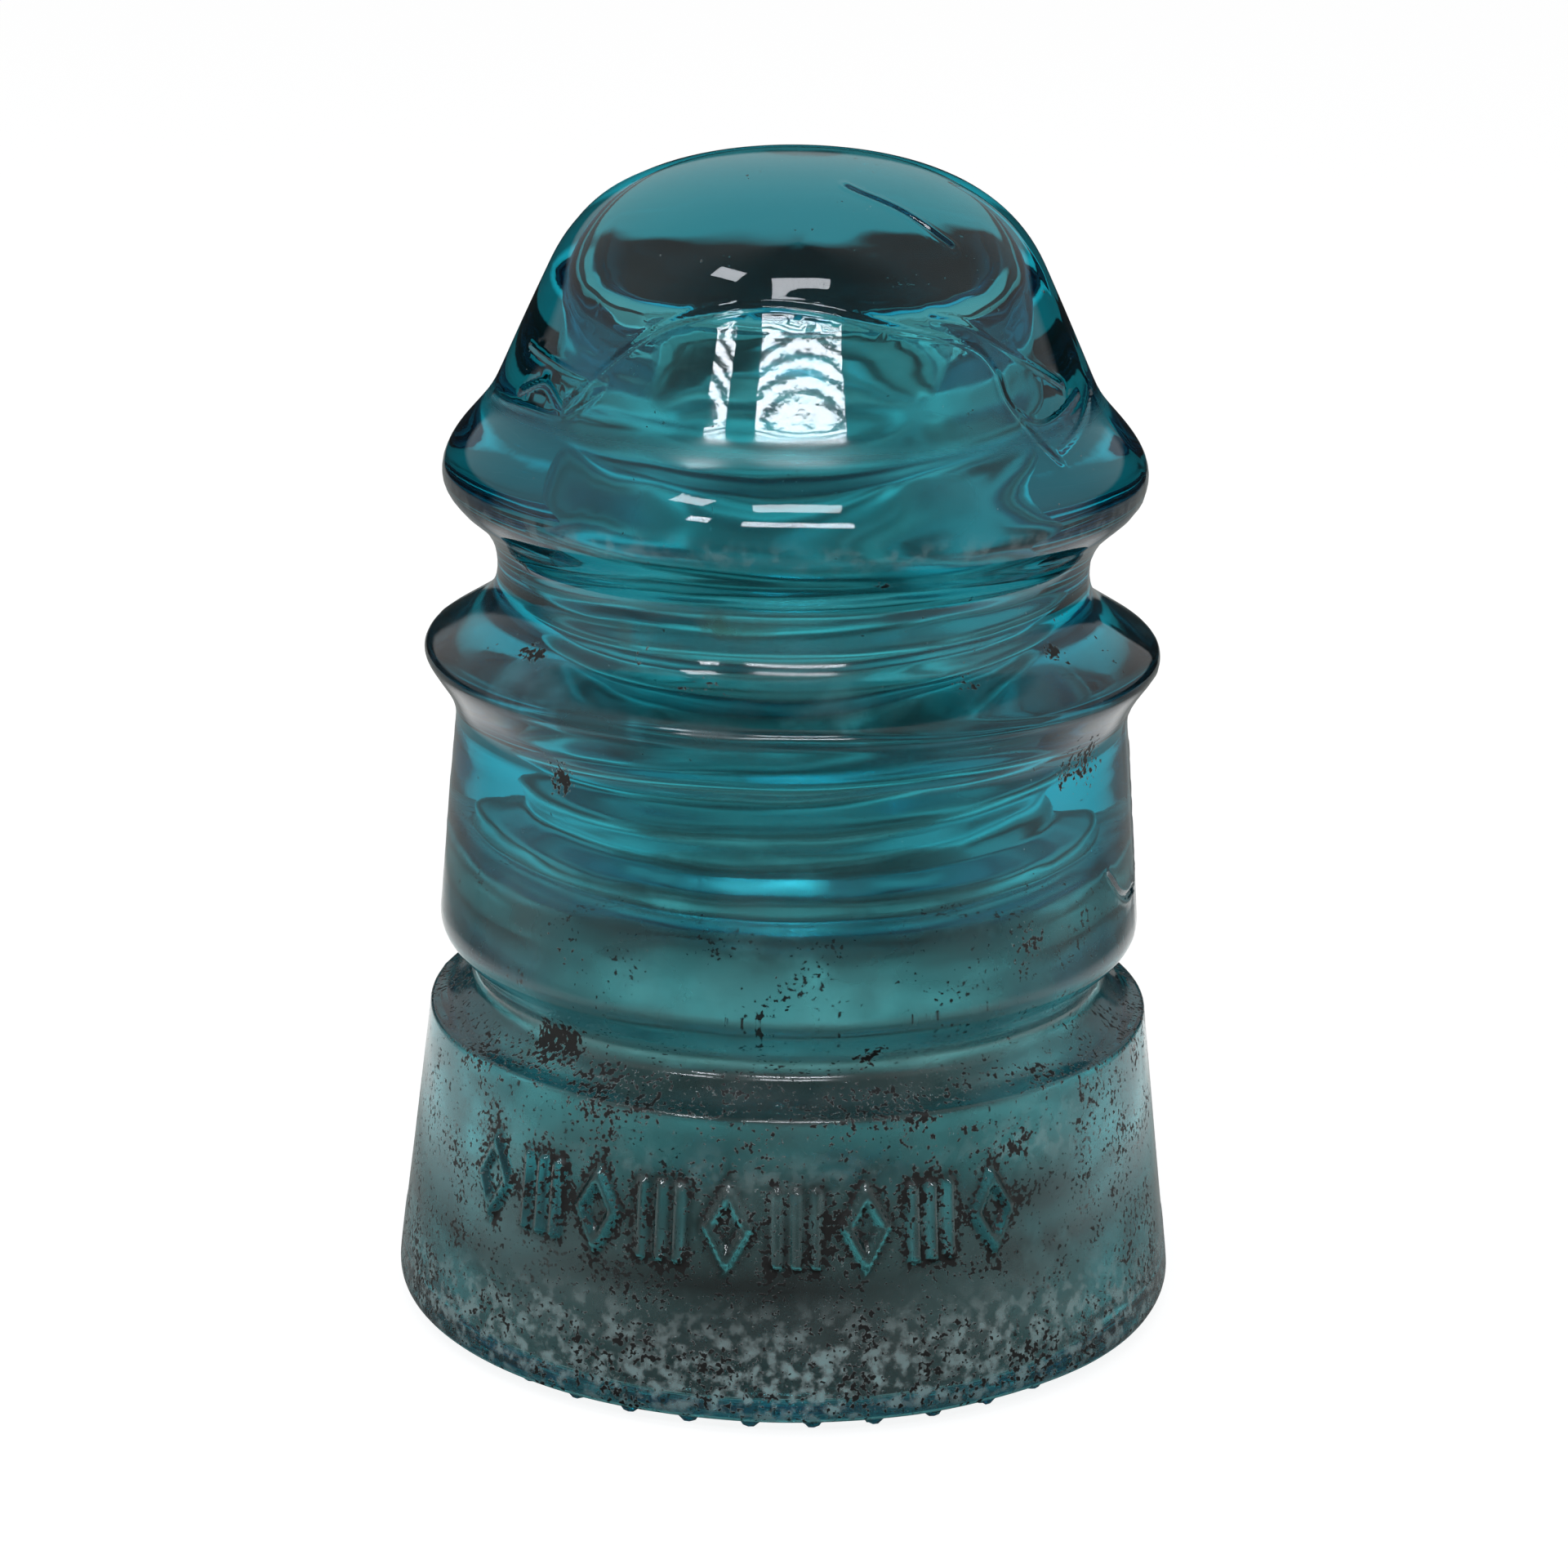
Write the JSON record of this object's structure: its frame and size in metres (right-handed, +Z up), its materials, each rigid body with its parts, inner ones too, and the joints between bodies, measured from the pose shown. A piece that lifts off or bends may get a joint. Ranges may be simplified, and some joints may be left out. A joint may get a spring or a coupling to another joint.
{
  "type": "pin insulator",
  "caption": "Double-groove pressed glass pin insulator with a domed top, two wire ridges, a threaded pinhole and drip points.",
  "frame": {"origin": "on the insulator's axis, level with the tips of the drip points that it stands on", "axes": "+Z up along the axis towards the domed top; -Y towards the raised marks on the skirt; +X to their right"},
  "size_m": [0.0622, 0.0622, 0.092],
  "materials": {
    "aqua_glass": "glossy, fire-polished, with weathered grime"
  },
  "bodies": {
    "root": {"glass_body": "aqua_glass"}
  },
  "joints": []
}
